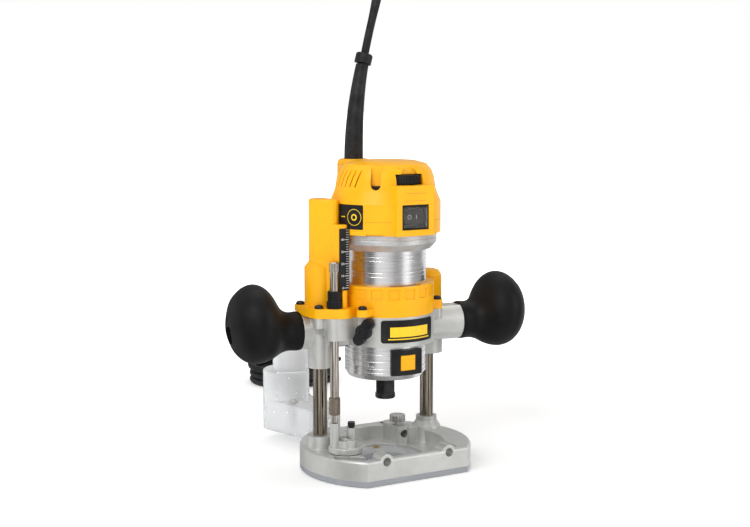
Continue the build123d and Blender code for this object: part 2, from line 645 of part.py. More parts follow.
with BuildPart() as carbon_brushes:
    for angle in (brush_angle, brush_angle - 180):
        block(*polar(20.4, angle), 232.2, (16.0, 7.0, 6.0), angle)
save(carbon_brushes, "carbon_brushes")

with BuildPart() as bearing_bridge:
    turned([(11.0, 242.6), (13.6, 242.6), (13.6, 250.8), (3.0, 250.8), (3.0, 249.4), (11.0, 249.4)])
    block(0, 25.0, 243.0, (12.0, 24.0, 7.6))
    post(0, dial_y, 2.5, 243.6, 257.0)
    block(0, -18.0, 253.8, (6.0, 24.0, 3.2))
    post(0, -8.5, 2.6, 250.0, 257.0)
    for side in (-1, 1):
        block(side * 24.0, 6, 243.0, (22.0, 9.0, 7.6))
save(bearing_bridge, "bearing_bridge")

with BuildPart() as circuit_board:
    block(0, 50.0, 214.0, (19.0, 1.6, 30.0))
    block(0, 47.5, 218.0, (12.0, 4.0, 10.0))
    block(0, 47.0, 232.0, (8.0, 5.0, 8.0))
save(circuit_board, "circuit_board")

# ---- switch and speed dial ----
with BuildPart() as switch_body:
    block(0, -38.9, 209.6, (24.6, 13.4, 19.0))
    block(0, -41.0, 210.6, (20.6, 10.0, 17.0), mode=Mode.SUBTRACT)
save(switch_body, "switch_body")

rocker_y, rocker_z = -38.5, 219.1
with BuildPart() as switch_rocker:
    with BuildSketch(Plane.XZ.offset(-rocker_y - 0.6)) as face:
        with Locations((0, rocker_z)):
            RectangleRounded(19.4, 14.0, 1.2)
    extrude(face.sketch, amount=6.6)
    rod((-9.9, rocker_y, rocker_z), (9.9, rocker_y, rocker_z), 1.6)
save(switch_rocker, "switch_rocker")

with BuildPart() as speed_dial:
    post(0, dial_y, dial_r, 245.6, 253.2)
    fillet(speed_dial.edges().filter_by(GeomType.CIRCLE), 0.8)
    knurl(0, dial_y, dial_r + 0.3, 245.0, 254.0, 36, 0.8)
    post(0, dial_y, 2.6, 245, 254, Mode.SUBTRACT)
save(speed_dial, "speed_dial")

# ---- mains lead ----
boot_shape = ((256.0, 0.0, 8.3), (270.0, 0.1, 8.2), (295.0, 1.3, 7.5), (320.0, 4.2, 6.5), (345.0, 9.0, 5.6))
with BuildPart() as cord_boot:
    rings = []
    for z, x, r in boot_shape:
        with BuildSketch(Plane.XY.offset(z)) as ring:
            with Locations((x, boss_y)):
                Circle(r)
        rings.append(ring.sketch)
    loft(rings)
    with Locations(Plane(origin=(9.0, boss_y, 345.0), z_dir=(0.28, 0, 1)).location):
        Cylinder(7.4, 9.0, align=BOTTOM)
    fillet(cord_boot.faces().sort_by(Axis.Z)[-1].edges(), 2.0)
save(cord_boot, "cord_boot")

cord_route = [
    (11.5, 55.0, 354.2), (15.5, 53.2, 376.0), (22.5, 52.0, 401.0), (29.0, 51.5, 427.0),
    (32.0, 53.0, 454.0), (38.5, 67.5, 476.5), (49.0, 90.5, 485.0), (60.0, 114.5, 476.0),
    (67.0, 128.5, 453.0), (67.5, 128.0, 421.0), (60.0, 126.5, 388.0), (50.5, 128.5, 347.0),
    (44.0, 130.0, 300.0), (38.0, 131.5, 240.0), (26.5, 136.0, 172.0), (14.0, 141.5, 112.0),
    (10.0, 144.0, 62.0), (12.5, 152.0, 27.0), (22.5, 171.0, 5.2), (39.0, 201.0, cord_r),
    (51.0, 232.0, cord_r), (58.5, 262.0, cord_r), (60.0, 289.0, cord_r), (54.5, 311.0, cord_r),
]
cord_points = [Vector(*p) for p in cord_route]
cord_runs = [(b - a).length for a, b in zip(cord_points, cord_points[1:])]
cord_radii = []
for i in range(1, len(cord_points) - 1):
    before = cord_points[i] - cord_points[i - 1]
    after = cord_points[i + 1] - cord_points[i]
    half_turn = math.radians(before.get_angle(after)) / 2
    cord_radii.append(0.45 * min(before.length, after.length) / math.tan(half_turn))
print("cord runs", [round(run, 1) for run in cord_runs])
print("cord radii", [round(r, 1) for r in cord_radii])

with BuildPart() as cord:
    with BuildLine() as path:
        FilletPolyline(*cord_route, radius=cord_radii)
    with BuildSketch(Plane(origin=path.line @ 0, z_dir=path.line % 0)):
        Circle(cord_r)
    sweep(path=path.line)
cord_length = path.wires()[0].length
print("cord length", round(cord_length))
print("cord volume share", round(cord.part.volume / (math.pi * cord_r ** 2 * cord_length), 3))
save(cord, "cord")

coil_mid = 36.0
coil_half = 3 * cord_r
coil_top = 6 * cord_r
with BuildPart() as cord_coil:
    turned([(coil_mid - coil_half, 0), (coil_mid + coil_half, 0), (coil_mid + coil_half, coil_top),
            (coil_mid - coil_half, coil_top)], coil_x, coil_y)
save(cord_coil, "cord_coil")

plug_x = coil_x + 13.0
plug_z = coil_top + 13.0
with BuildPart() as plug:
    rear = Plane(origin=(plug_x, coil_y - 16, plug_z), x_dir=(1, 0, 0), z_dir=(0, -1, 0))
    with BuildSketch(rear) as face:
        RectangleRounded(36, 26, 11)
    extrude(face.sketch, amount=34, taper=6)
    rod((plug_x, coil_y, plug_z), (plug_x, coil_y - 20, plug_z), 6.5)
    for side in (-1, 1):
        pin_x = plug_x + side * 9.5
        rod((pin_x, coil_y - 49, plug_z), (pin_x, coil_y - 69, plug_z), 2.4)
save(plug, "plug")
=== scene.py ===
import math

import bpy
from bpy.props import FloatProperty, FloatVectorProperty, IntProperty, PointerProperty
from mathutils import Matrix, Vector


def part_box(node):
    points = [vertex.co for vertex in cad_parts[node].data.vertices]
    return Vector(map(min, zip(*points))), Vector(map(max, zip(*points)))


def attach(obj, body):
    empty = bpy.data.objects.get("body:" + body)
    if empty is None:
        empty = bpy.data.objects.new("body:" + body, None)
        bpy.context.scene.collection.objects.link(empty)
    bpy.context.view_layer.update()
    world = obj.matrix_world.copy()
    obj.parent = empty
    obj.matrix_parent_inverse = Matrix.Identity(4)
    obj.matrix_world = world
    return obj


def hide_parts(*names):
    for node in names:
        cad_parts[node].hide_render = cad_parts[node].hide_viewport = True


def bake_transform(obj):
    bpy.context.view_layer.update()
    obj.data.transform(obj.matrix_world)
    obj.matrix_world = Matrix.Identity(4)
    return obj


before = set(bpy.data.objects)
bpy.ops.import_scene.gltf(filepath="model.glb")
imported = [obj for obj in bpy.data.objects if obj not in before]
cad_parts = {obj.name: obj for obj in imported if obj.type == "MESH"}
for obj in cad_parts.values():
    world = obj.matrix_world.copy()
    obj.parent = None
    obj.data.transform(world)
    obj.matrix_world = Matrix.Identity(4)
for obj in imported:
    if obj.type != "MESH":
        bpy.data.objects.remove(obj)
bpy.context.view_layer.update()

bl_info = {
    "name": "Compact Plunge Router",
    "version": (1, 0, 0),
    "blender": (4, 5, 0),
    "location": "View3D > Sidebar > Router",
    "description": "Finishes, trim, mains lead and stage for a compact plunge router",
    "category": "Object",
}

# Metres, in the frame's own axes: the spindle runs along Z, and the switch faces -Y.

CAP_R = 0.0468                                         # yellow motor cap
RING_R = 0.0415                                        # carriage casting round the motor
PANEL_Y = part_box("motor_cap")[0][1]                    # flat of the cap that carries the switch
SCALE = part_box("scale_strip")
SEAM_Z = 0.2152                                        # moulding line round the cap
SEAM_HALF = 0.00016                                    # half the moulding line's width
BRUSH_ANGLES = (228.4, 48.4)                           # degrees, where the brush slots are
POCKET_BACK, POCKET_FACE = 0.0352, 0.0366              # from the spindle axis to each side of a pocket's wall
POCKET_HALF, POCKET_TOP = 0.0049, 0.2606
SCOOP_HALF, SCOOP_TOP = 0.0092, 0.2592                 # wall behind the speed dial

# The lead's centre line, from its strain relief to the coil.
LEAD_ROUTE = (
    (0.0115, 0.055, 0.3542), (0.0155, 0.0532, 0.376), (0.0225, 0.052, 0.401), (0.029, 0.0515, 0.427),
    (0.032, 0.053, 0.454), (0.0385, 0.0675, 0.4765), (0.049, 0.0905, 0.485), (0.060, 0.1145, 0.476),
    (0.067, 0.1285, 0.453), (0.0675, 0.128, 0.421), (0.060, 0.1265, 0.388), (0.0505, 0.1285, 0.347),
    (0.044, 0.130, 0.300), (0.038, 0.1315, 0.240), (0.0265, 0.136, 0.172), (0.014, 0.1415, 0.112),
    (0.010, 0.144, 0.062), (0.0125, 0.152, 0.027), (0.0225, 0.171, 0.0052), (0.039, 0.201, 0.0035),
    (0.051, 0.232, 0.0035), (0.0585, 0.262, 0.0035), (0.060, 0.289, 0.0035), (0.0545, 0.311, 0.0035),
)
COIL_CENTRE = Vector((0.086, 0.351, 0.0))
COIL_START = 207.0                                     # degrees, where the lead joins its coil
COIL_TRACKS = (6, 5, 4, 4, 5, 6, 6)                    # each turn's radius, in lead diameters
COIL_LAYERS = (0, 0, 0, 1, 1, 1, 2)
COIL_REACH = 0.0434                                    # from the coil's centre to its outer turn
PLUG_TAIL = Vector((0.099, 0.351, 0.034))              # where the lead enters the plug
TURN_RADIUS = 0.0308                                   # half turn from the coil to the plug


# ---- selecting and finishing meshes ----

def only(*pieces):
    """Selects these pieces and nothing else."""
    bpy.ops.object.select_all(action="DESELECT")
    for piece in pieces:
        piece.select_set(True)
    bpy.context.view_layer.objects.active = pieces[0]


def settle(piece):
    """Puts a piece's place, turn and size into its mesh."""
    only(piece)
    bpy.ops.object.transform_apply(location=True, rotation=True, scale=True)


def edit(piece, choose=None):
    """Opens a piece in edit mode with the chosen faces selected, or all of it."""
    only(piece)
    bpy.ops.object.mode_set(mode="EDIT")
    bpy.ops.mesh.select_mode(type="FACE")
    bpy.ops.mesh.select_all(action="SELECT" if choose is None else "DESELECT")
    bpy.ops.object.mode_set(mode="OBJECT")
    if choose is not None:
        for face in piece.data.polygons:
            face.select = choose(face)
    bpy.ops.object.mode_set(mode="EDIT")


def leave_edit():
    bpy.ops.object.mode_set(mode="OBJECT")


def name_piece(name):
    piece = bpy.context.active_object
    piece.name = name
    piece.data.name = name
    return piece


def apply_all(piece):
    """Applies every modifier on a piece."""
    only(piece)
    for modifier in list(piece.modifiers):
        bpy.ops.object.modifier_apply(modifier=modifier.name)


def round_edges(piece, width, segments=3, angle=35.0):
    """Rounds a piece's sharp edges and shades it smooth."""
    bevel = piece.modifiers.new("rounded edges", "BEVEL")
    bevel.width = width
    bevel.segments = segments
    bevel.limit_method = "ANGLE"
    bevel.angle_limit = math.radians(angle)
    apply_all(piece)
    smooth(piece)


def smooth(piece, angle=40.0):
    only(piece)
    bpy.ops.object.shade_smooth_by_angle(angle=math.radians(angle))


def join(name, pieces):
    """Makes one mesh of several."""
    only(*pieces)
    if len(pieces) > 1:
        bpy.ops.object.join()
    return name_piece(name)


def dress(piece, material, body):
    """Gives a new piece its finish and its body."""
    piece.data.materials.clear()
    piece.data.materials.append(material)
    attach(piece, body)


def box_piece(name, low, high):
    """A box between two corners, in metres."""
    low, high = Vector(low), Vector(high)
    bpy.ops.object.select_all(action="DESELECT")
    bpy.ops.mesh.primitive_cube_add(size=1, location=(low + high) / 2)
    piece = name_piece(name)
    piece.scale = high - low
    settle(piece)
    return piece


def wrap(piece, radius, middle):
    """Bends a flat piece, drawn with X along the arc and Y outwards, round the spindle."""
    for vertex in piece.data.vertices:
        along, out, up = vertex.co
        turn = math.radians(middle) + along / radius
        vertex.co = ((radius + out) * math.cos(turn), (radius + out) * math.sin(turn), up)
    piece.data.update()
    only(piece)
    bpy.ops.object.mode_set(mode="EDIT")
    bpy.ops.mesh.select_all(action="SELECT")
    bpy.ops.mesh.normals_make_consistent(inside=False)
    leave_edit()


def slice_along(piece, axis, step):
    """Cuts a flat piece across at even steps, so that it can bend."""
    place = [vertex.co[axis] for vertex in piece.data.vertices]
    low, high = min(place), max(place)
    count = max(2, round((high - low) / step))
    normal = [0.0, 0.0, 0.0]
    normal[axis] = 1.0
    for i in range(1, count):
        point = [0.0, 0.0, 0.0]
        point[axis] = low + (high - low) * i / count
        edit(piece)
        bpy.ops.mesh.bisect(plane_co=point, plane_no=normal)
        leave_edit()


def curved_plate(name, radius, low, high, middle, half, depth, corner):
    """A thin plate with rounded corners, lying on a round wall."""
    reach = math.radians(half) * radius
    bpy.ops.object.select_all(action="DESELECT")
    bpy.ops.mesh.primitive_plane_add(size=1, location=(0, 0, (low + high) / 2), rotation=(math.pi / 2, 0, 0))
    piece = name_piece(name)
    piece.scale = (2 * reach, high - low, 1)
    settle(piece)
    edit(piece)
    bpy.ops.mesh.select_mode(type="VERT")
    bpy.ops.mesh.bevel(offset=corner, segments=5, affect="VERTICES")
    bpy.ops.mesh.select_all(action="SELECT")
    bpy.ops.mesh.extrude_region_move(TRANSFORM_OT_translate={"value": (0, depth, 0)})
    leave_edit()
    slice_along(piece, 0, 0.0012)
    wrap(piece, radius, middle)
    return piece


# ---- finishes: the patterns that they share ----

def finish(name, colour, roughness, metallic=0.0):
    """A new material, with its shader's even values set."""
    material = bpy.data.materials.new(name)
    material.use_nodes = True
    shader = material.node_tree.nodes["Principled BSDF"]
    shader.inputs["Base Color"].default_value = (*colour, 1)
    shader.inputs["Roughness"].default_value = roughness
    shader.inputs["Metallic"].default_value = metallic
    return material


def add(material, kind, **values):
    """A node with its sockets set by name, spaces written as underscores."""
    made = material.node_tree.nodes.new("ShaderNode" + kind)
    for socket, value in values.items():
        made.inputs[socket.replace("_", " ")].default_value = value
    return made


def tie(material, output, socket):
    material.node_tree.links.new(output, socket)


def shader_of(material):
    return material.node_tree.nodes["Principled BSDF"]


def placed(material, stretch=(1, 1, 1), centre=(0, 0, 0)):
    """Object coordinates, moved to a centre and stretched."""
    coordinates = add(material, "TexCoord")
    mapping = add(material, "Mapping")
    mapping.inputs["Scale"].default_value = stretch
    mapping.inputs["Location"].default_value = [-c * s for c, s in zip(centre, stretch)]
    tie(material, coordinates.outputs["Object"], mapping.inputs["Vector"])
    return mapping.outputs["Vector"]


def noise(material, scale, detail=3.0, stretch=(1, 1, 1)):
    """A noise pattern, as a value from about 0.3 to 0.7."""
    pattern = add(material, "TexNoise", Scale=scale, Detail=detail, Roughness=0.55)
    tie(material, placed(material, stretch), pattern.inputs["Vector"])
    return pattern.outputs["Fac"]


def ramp(material, value, stops):
    """A colour ramp over a value, from (place, colour) stops."""
    made = add(material, "ValToRGB")
    made.color_ramp.elements[0].position = stops[0][0]
    made.color_ramp.elements[1].position = stops[-1][0]
    for place, _ in stops[1:-1]:
        made.color_ramp.elements.new(place)
    for element, (_, colour) in zip(made.color_ramp.elements, stops):
        element.color = (*colour, 1)
    tie(material, value, made.inputs["Fac"])
    return made.outputs["Color"]


def tint(material, value, stops):
    tie(material, ramp(material, value, stops), shader_of(material).inputs["Base Color"])


def gloss(material, value, low, high):
    """Roughness that wanders between two values."""
    spread = add(material, "MapRange", From_Min=0.3, From_Max=0.7, To_Min=low, To_Max=high)
    tie(material, value, spread.inputs["Value"])
    tie(material, spread.outputs["Result"], shader_of(material).inputs["Roughness"])


def relief(material, value, strength, depth):
    """Raises the surface by a pattern, over any relief that it has already."""
    bump = add(material, "Bump", Strength=strength, Distance=depth)
    normal = shader_of(material).inputs["Normal"]
    if normal.is_linked:
        tie(material, normal.links[0].from_socket, bump.inputs["Normal"])
    tie(material, value, bump.inputs["Height"])
    tie(material, bump.outputs["Normal"], normal)


def eased_edges(material, radius, wear_and_highlight=None, amount=0.5):
    """Rounds the light over sharp edges, and lightens the colour along them as a painted edge highlight."""
    bevel = add(material, "Bevel", Radius=radius)
    bevel.samples = 6
    tie(material, bevel.outputs["Normal"], shader_of(material).inputs["Normal"])
    if wear_and_highlight is None:
        return
    geometry = add(material, "NewGeometry")
    level = add(material, "VectorMath")
    level.operation = "DOT_PRODUCT"
    tie(material, bevel.outputs["Normal"], level.inputs[0])
    tie(material, geometry.outputs["Normal"], level.inputs[1])
    # Edge mask: where the rounded normal leans off the face, the colour is mixed towards a painted edge
    # highlight.
    edge = add(material, "MapRange", From_Min=0.995, From_Max=0.86, To_Min=0.0, To_Max=amount)
    tie(material, level.outputs["Value"], edge.inputs["Value"])
    colour = shader_of(material).inputs["Base Color"]
    mix = add(material, "Mix")
    mix.data_type = "RGBA"
    mix.inputs[7].default_value = (*wear_and_highlight, 1)
    tie(material, edge.outputs["Result"], mix.inputs[0])
    if colour.is_linked:
        tie(material, colour.links[0].from_socket, mix.inputs[6])
    else:
        mix.inputs[6].default_value = colour.default_value
    tie(material, mix.outputs[2], colour)


def round_the(material, centre, count, rise):
    """Crossed waves round an upright knob, for a diamond knurl."""
    split = add(material, "SeparateXYZ")
    tie(material, placed(material, centre=(*centre, 0)), split.inputs["Vector"])
    angle = add(material, "Math")
    angle.operation = "ARCTAN2"
    tie(material, split.outputs["Y"], angle.inputs[0])
    tie(material, split.outputs["X"], angle.inputs[1])
    waves = []
    for lean in (1, -1):
        climb = add(material, "Math")
        climb.operation = "MULTIPLY"
        climb.inputs[1].default_value = lean * rise
        tie(material, split.outputs["Z"], climb.inputs[0])
        turn = add(material, "Math")
        turn.operation = "MULTIPLY_ADD"
        turn.inputs[1].default_value = count
        tie(material, angle.outputs["Value"], turn.inputs[0])
        tie(material, climb.outputs["Value"], turn.inputs[2])
        wave = add(material, "Math")
        wave.operation = "SINE"
        tie(material, turn.outputs["Value"], wave.inputs[0])
        waves.append(wave)
    lowest = add(material, "Math")
    lowest.operation = "MINIMUM"
    tie(material, waves[0].outputs["Value"], lowest.inputs[0])
    tie(material, waves[1].outputs["Value"], lowest.inputs[1])
    return lowest.outputs["Value"]


# ---- finishes: one function each ----

def die_cast(tone):
    material = finish("die cast alloy", tone, 0.42, 0.62)
    cloud = noise(material, 45, 4)
    tint(material, cloud, ((0.35, [c * 0.88 for c in tone]), (0.65, tone)))
    # The lighter edge colour passed here is a painted edge highlight.
    eased_edges(material, 0.0007, wear_and_highlight=(0.86, 0.86, 0.85), amount=0.6)
    gloss(material, noise(material, 160, 5), 0.34, 0.52)
    relief(material, noise(material, 1400, 4), 0.35, 0.00008)
    relief(material, noise(material, 90, 3), 0.25, 0.0003)
    return material


def yellow_nylon(tone):
    material = finish("yellow nylon", tone, 0.36)
    deep = (tone[0] * 0.94, tone[1] * 0.90, tone[2])
    tint(material, noise(material, 30, 3), ((0.35, deep), (0.62, tone)))
    # The lighter yellow passed here is a painted edge highlight.
    eased_edges(material, 0.0008, wear_and_highlight=(1.0, tone[1] * 1.18, tone[2] + 0.04), amount=0.35)
    gloss(material, noise(material, 220, 4), 0.30, 0.42)
    relief(material, noise(material, 2200, 3), 0.22, 0.00005)
    shader_of(material).inputs["Specular IOR Level"].default_value = 0.28
    shader_of(material).inputs["Subsurface Weight"].default_value = 0.06
    shader_of(material).inputs["Subsurface Scale"].default_value = 0.0015
    return material


def soft_grip(tone):
    material = finish("soft grip rubber", tone, 0.5)
    wear_and_highlight, fresh = [c * 0.7 for c in tone], [c * 1.25 for c in tone]
    tint(material, noise(material, 60, 4), ((0.35, wear_and_highlight), (0.65, fresh)))
    gloss(material, noise(material, 35, 4), 0.42, 0.58)
    relief(material, noise(material, 1500, 4), 0.4, 0.00009)
    shader_of(material).inputs["Specular IOR Level"].default_value = 0.17
    return material


def black_moulding():
    material = finish("black moulding", (0.014, 0.014, 0.015), 0.4)
    tint(material, noise(material, 80, 3), ((0.35, (0.010, 0.010, 0.011)), (0.65, (0.020, 0.020, 0.021))))
    # The lighter grey passed here is a painted edge highlight.
    eased_edges(material, 0.0004, wear_and_highlight=(0.06, 0.06, 0.062), amount=0.5)
    gloss(material, noise(material, 300, 4), 0.32, 0.48)
    relief(material, noise(material, 2600, 3), 0.3, 0.00005)
    shader_of(material).inputs["Specular IOR Level"].default_value = 0.16
    return material


def turned_alloy():
    """Bright metal with the fine rings that a lathe leaves."""
    material = finish("turned alloy", (0.83, 0.83, 0.84), 0.2, 1.0)
    rings = noise(material, 60, 6, stretch=(0.4, 0.4, 90))
    tint(material, rings, ((0.35, (0.70, 0.70, 0.71)), (0.65, (0.90, 0.90, 0.91))))
    eased_edges(material, 0.0003)
    gloss(material, rings, 0.2, 0.32)
    relief(material, noise(material, 50, 3, stretch=(0.3, 0.3, 60)), 0.05, 0.00002)
    return material


def column_chrome(name, low, high):
    """Ground steel with a warm cast and long fine streaks."""
    material = finish(name, high, 0.2, 1.0)
    streaks = noise(material, 40, 5, stretch=(30, 30, 0.6))
    tint(material, streaks, ((0.42, low), (0.58, high)))
    gloss(material, noise(material, 120, 4, stretch=(6, 6, 1)), 0.14, 0.28)
    relief(material, noise(material, 40, 4, stretch=(1, 1, 60)), 0.1, 0.00003)
    return material


def zinc_steel():
    material = finish("zinc plated steel", (0.55, 0.55, 0.53), 0.3, 1.0)
    tint(material, noise(material, 120, 4), ((0.35, (0.44, 0.44, 0.42)), (0.65, (0.62, 0.61, 0.59))))
    eased_edges(material, 0.0002)
    gloss(material, noise(material, 400, 4), 0.22, 0.38)
    relief(material, noise(material, 900, 4), 0.2, 0.00004)
    return material


def knurled(name, tone, centre, count, rise):
    """Metal with a rolled diamond pattern round an upright axis, its hollows darkened with painted shade."""
    material = finish(name, tone, 0.3, 1.0)
    diamonds = round_the(material, centre, count, rise)
    # The diamonds' low parts are darkened to 0.45 of the tone: painted shade in the knurl's hollows.
    tint(material, diamonds, ((0.0, [c * 0.45 for c in tone]), (0.6, tone)))
    gloss(material, noise(material, 400, 3), 0.24, 0.36)
    relief(material, diamonds, 0.8, 0.0003)
    return material


def black_oxide():
    material = finish("blackened steel", (0.018, 0.018, 0.02), 0.36, 0.55)
    tint(material, noise(material, 150, 4), ((0.35, (0.010, 0.010, 0.012)), (0.65, (0.030, 0.030, 0.032))))
    # The lighter grey passed here is a painted edge highlight.
    eased_edges(material, 0.0004, wear_and_highlight=(0.16, 0.16, 0.16), amount=0.5)
    gloss(material, noise(material, 500, 4), 0.28, 0.42)
    relief(material, noise(material, 1200, 3), 0.2, 0.00004)
    return material


def plain_brass():
    material = finish("turned brass", (0.70, 0.50, 0.22), 0.28, 1.0)
    tint(material, noise(material, 200, 4), ((0.35, (0.55, 0.37, 0.14)), (0.65, (0.78, 0.58, 0.28))))
    eased_edges(material, 0.0002)
    gloss(material, noise(material, 300, 4), 0.2, 0.36)
    relief(material, noise(material, 60, 4, stretch=(1, 1, 60)), 0.15, 0.00003)
    return material


def wound_copper():
    material = finish("enamelled copper", (0.60, 0.26, 0.12), 0.3, 1.0)
    strands = noise(material, 80, 4, stretch=(1, 1, 30))
    tint(material, strands, ((0.35, (0.36, 0.14, 0.06)), (0.65, (0.72, 0.34, 0.18))))
    relief(material, strands, 0.7, 0.0003)
    return material


def carbon_block():
    material = finish("carbon", (0.03, 0.03, 0.032), 0.55, 0.2)
    tint(material, noise(material, 900, 4), ((0.35, (0.018, 0.018, 0.02)), (0.65, (0.06, 0.06, 0.062))))
    relief(material, noise(material, 900, 4), 0.4, 0.0001)
    return material


def board_laminate():
    material = finish("board laminate", (0.02, 0.16, 0.06), 0.35)
    weave = noise(material, 60, 5, stretch=(1, 1, 6))
    tint(material, weave, ((0.35, (0.01, 0.11, 0.04)), (0.65, (0.03, 0.2, 0.08))))
    gloss(material, noise(material, 200, 3), 0.28, 0.45)
    relief(material, noise(material, 500, 3), 0.2, 0.00008)
    return material


def lead_rubber():
    material = finish("lead rubber", (0.016, 0.016, 0.017), 0.46)
    tint(material, noise(material, 90, 4), ((0.35, (0.010, 0.010, 0.011)), (0.65, (0.024, 0.024, 0.026))))
    gloss(material, noise(material, 240, 4), 0.38, 0.54)
    relief(material, noise(material, 1600, 3), 0.3, 0.00006)
    shader_of(material).inputs["Specular IOR Level"].default_value = 0.16
    return material


def satin_alloy():
    """Metal blasted to an even satin."""
    material = finish("satin alloy", (0.66, 0.66, 0.66), 0.42, 0.8)
    tint(material, noise(material, 140, 4), ((0.35, (0.58, 0.58, 0.58)), (0.65, (0.70, 0.70, 0.70))))
    # The lighter edge colour passed here is a painted edge highlight.
    eased_edges(material, 0.0005, wear_and_highlight=(0.86, 0.86, 0.85), amount=0.5)
    gloss(material, noise(material, 300, 4), 0.36, 0.5)
    relief(material, noise(material, 1300, 3), 0.25, 0.00005)
    return material


def clear_moulding(name, tone, roughness, clarity, index):
    """Clear plastic, a little uneven as moulded."""
    material = finish(name, tone, roughness)
    shader = shader_of(material)
    shader.inputs["Transmission Weight"].default_value = clarity
    shader.inputs["IOR"].default_value = index
    relief(material, noise(material, 30, 1), 0.04, 0.0001)
    gloss(material, noise(material, 140, 3), roughness * 0.8, roughness * 1.4)
    return material


def smoked_cover():
    """The dark see-through cover that keeps dust out of the switch."""
    material = finish("smoked cover", (0.86, 0.84, 0.82), 0.04)
    shader_of(material).inputs["Transmission Weight"].default_value = 0.97
    shader_of(material).inputs["IOR"].default_value = 1.18
    gloss(material, noise(material, 150, 3), 0.06, 0.18)
    relief(material, noise(material, 300, 3), 0.15, 0.0001)
    return material


def ink_and_painted_shade(name, tone):
    """Ink on a label, and the painted shadow of the moulding lines, slightly uneven."""
    material = finish(name, tone, 0.4)
    tint(material, noise(material, 700, 3), ((0.35, [c * 0.86 for c in tone]), (0.6, tone)))
    gloss(material, noise(material, 500, 3), 0.32, 0.46)
    relief(material, noise(material, 1500, 2), 0.15, 0.00003)
    return material


def pale_floor(tone):
    material = finish("pale floor", tone, 0.55)
    tint(material, noise(material, 3, 2), ((0.35, [c * 0.985 for c in tone]), (0.65, tone)))
    shader = shader_of(material)
    shader.inputs["Emission Color"].default_value = (1, 1, 1, 1)
    reach = add(material, "VectorMath")
    reach.operation = "LENGTH"
    tie(material, placed(material), reach.inputs[0])
    glow = add(material, "MapRange", From_Min=0.25, From_Max=1.1, To_Min=0.22, To_Max=1.0)
    tie(material, reach.outputs["Value"], glow.inputs["Value"])
    tie(material, glow.outputs["Result"], shader.inputs["Emission Strength"])
    return material


FINISHES = {}


# ---- what a user would change ----

class RouterFinishes(bpy.types.PropertyGroup):
    yellow: FloatVectorProperty(
        name="Yellow nylon", description="Colour of the cap, the cover and the lock button",
        subtype="COLOR", size=3, min=0, max=1, default=(0.93, 0.44, 0.002))
    casting: FloatVectorProperty(
        name="Casting", description="Colour of the die cast base and carriage",
        subtype="COLOR", size=3, min=0, max=1, default=(0.64, 0.64, 0.62))
    grip: FloatVectorProperty(
        name="Grip", description="Colour of the soft handles",
        subtype="COLOR", size=3, min=0, max=1, default=(0.005, 0.005, 0.0052))


class RouterLead(bpy.types.PropertyGroup):
    diameter: FloatProperty(
        name="Diameter", description="Outer diameter of the mains lead",
        subtype="DISTANCE", unit="LENGTH", default=0.007, min=0.004, max=0.012)
    length: FloatProperty(
        name="Length", description="Whole length of the mains lead",
        subtype="DISTANCE", unit="LENGTH", default=2.55, min=1.0, max=5.0)
    points: IntProperty(
        name="Points a turn", description="Control points in each turn of the coil",
        default=16, min=12, max=32)


class RouterScale(bpy.types.PropertyGroup):
    step: FloatProperty(
        name="Step", description="Distance between the scale's marks",
        subtype="DISTANCE", unit="LENGTH", default=0.002, min=0.001, max=0.01)
    digits: FloatProperty(
        name="Figures", description="Height of the scale's figures",
        subtype="DISTANCE", unit="LENGTH", default=0.0026, min=0.001, max=0.005)


class RouterStage(bpy.types.PropertyGroup):
    key: FloatProperty(
        name="Key light", description="Strength of the large light at the front left",
        unit="POWER", default=20.0, min=0)
    fill: FloatProperty(
        name="Fill light", description="Strength of the light at the right",
        unit="POWER", default=6.0, min=0)
    top: FloatProperty(
        name="Top light", description="Strength of the light overhead",
        unit="POWER", default=8.0, min=0)
    room: FloatProperty(
        name="Room light", description="Strength of the pale room around the tool",
        default=1.0, min=0)
    soft: FloatProperty(
        name="Soft share", description="Share of the room's light that falls on the tool from all round",
        subtype="FACTOR", default=0.55, min=0, max=1)


# ---- operators ----

